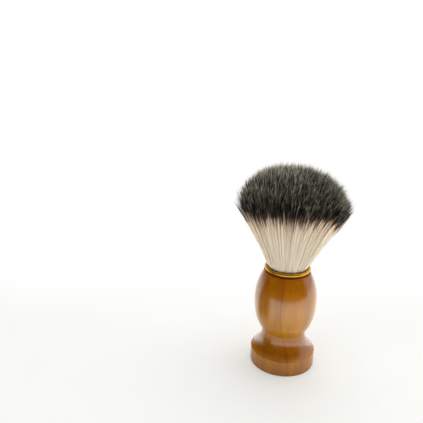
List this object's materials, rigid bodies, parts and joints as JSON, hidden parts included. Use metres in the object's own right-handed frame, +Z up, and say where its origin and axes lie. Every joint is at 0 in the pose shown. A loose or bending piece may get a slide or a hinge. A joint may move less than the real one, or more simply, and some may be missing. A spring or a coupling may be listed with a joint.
{
  "type": "shaving brush",
  "caption": "Free-standing shaving brush: turned two-stave wooden handle, gilt collar and a fanned two-tone knot of fine bristles.",
  "frame": {"origin": "centre of the foot's flat underside, on the turning axis", "axes": "+Z up along the turning axis, from the foot to the crown of the knot; -Y is the front; the glue joint between the staves faces the front"},
  "size_m": [0.0558, 0.0371, 0.1056],
  "materials": {
    "wood_left": "clear gloss lacquer over honey-brown hardwood",
    "wood_right": "clear gloss lacquer over honey-brown hardwood, a shade lighter",
    "gilt": "polished gold tone",
    "adhesive": "cured adhesive",
    "resin": "cast resin",
    "thread": "undyed cotton thread",
    "bristle": "fine synthetic fibre, cream roots, black band, grey tips"
  },
  "bodies": {
    "root": {"handle_left_stave": "wood_left", "handle_right_stave": "wood_right", "collar": "gilt", "socket_adhesive": "adhesive", "knot_plug": "resin", "binding_thread": "thread", "bristles_back_right": "bristle", "bristles_back_left": "bristle", "bristles_front_left": "bristle", "bristles_front_right": "bristle"}
  },
  "joints": []
}
